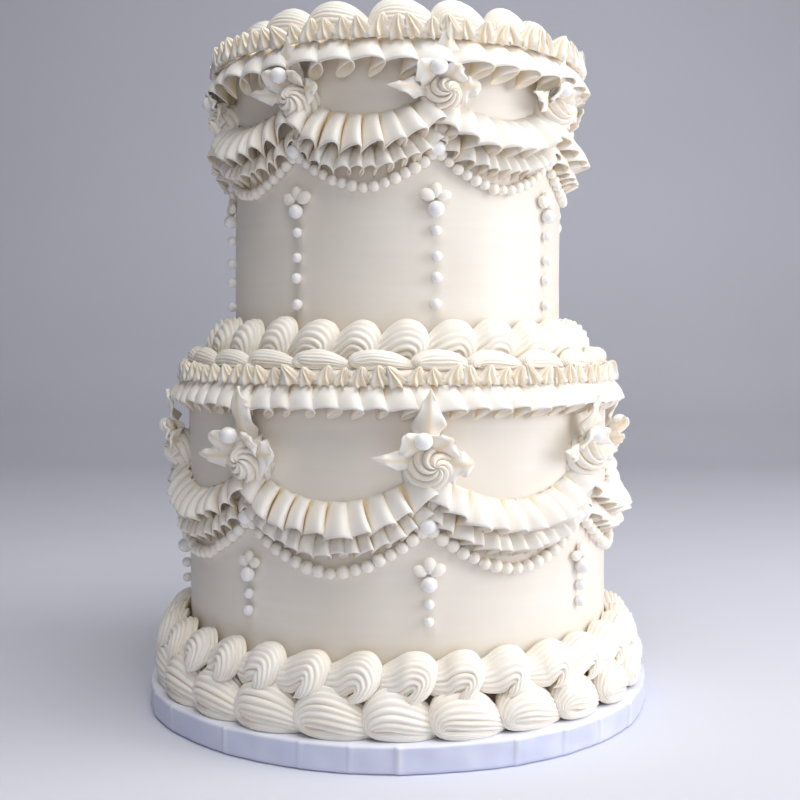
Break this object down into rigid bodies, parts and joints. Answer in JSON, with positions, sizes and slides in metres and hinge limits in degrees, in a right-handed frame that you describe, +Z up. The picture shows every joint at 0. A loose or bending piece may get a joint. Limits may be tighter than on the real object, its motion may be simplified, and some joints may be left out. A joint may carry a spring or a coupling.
{
  "type": "tiered wedding cake",
  "caption": "Round tiered wedding cake with smooth pale icing, piped shell borders, ruffled swags, rosettes and sugar pearls, on a wrapped cake drum.",
  "frame": {"origin": "centre of the underside of the cake drum", "axes": "+Z up through the tiers, -Y towards the front, +X to the right as seen from the front"},
  "size_m": [0.254, 0.254, 0.3288],
  "materials": {
    "smooth_icing": "satin off-white buttercream, scraped smooth",
    "piped_buttercream": "soft satin off-white buttercream, piped in fine ridges",
    "sugar_pearl": "smooth white sugar pearl with a soft gloss",
    "board_wrap": "pale cool white wrapping paper with a soft sheen, creased round the edge"
  },
  "bodies": {
    "root": {"board": "board_wrap", "tier_lower": "smooth_icing", "tier_upper": "smooth_icing", "base_shells": "piped_buttercream", "base_scrolls": "piped_buttercream", "ledge_scrolls": "piped_buttercream", "ledge_shells": "piped_buttercream", "rim_ruffle_lower": "piped_buttercream", "rim_stars_lower": "piped_buttercream", "rim_ruffle_upper": "piped_buttercream", "rim_stars_upper": "piped_buttercream", "top_shells": "piped_buttercream", "swag_lower_1": "piped_buttercream", "rosette_lower_1": "piped_buttercream", "swag_lower_2": "piped_buttercream", "rosette_lower_2": "piped_buttercream", "swag_lower_3": "piped_buttercream", "rosette_lower_3": "piped_buttercream", "swag_lower_4": "piped_buttercream", "rosette_lower_4": "piped_buttercream", "swag_lower_5": "piped_buttercream", "rosette_lower_5": "piped_buttercream", "swag_lower_6": "piped_buttercream", "rosette_lower_6": "piped_buttercream", "swag_lower_7": "piped_buttercream", "rosette_lower_7": "piped_buttercream", "swag_lower_8": "piped_buttercream", "rosette_lower_8": "piped_buttercream", "swag_upper_1": "piped_buttercream", "rosette_upper_1": "piped_buttercream", "swag_upper_2": "piped_buttercream", "rosette_upper_2": "piped_buttercream", "swag_upper_3": "piped_buttercream", "rosette_upper_3": "piped_buttercream", "swag_upper_4": "piped_buttercream", "rosette_upper_4": "piped_buttercream", "swag_upper_5": "piped_buttercream", "rosette_upper_5": "piped_buttercream", "swag_upper_6": "piped_buttercream", "rosette_upper_6": "piped_buttercream", "swag_upper_7": "piped_buttercream", "rosette_upper_7": "piped_buttercream", "swag_upper_8": "piped_buttercream", "rosette_upper_8": "piped_buttercream"}
  },
  "joints": []
}
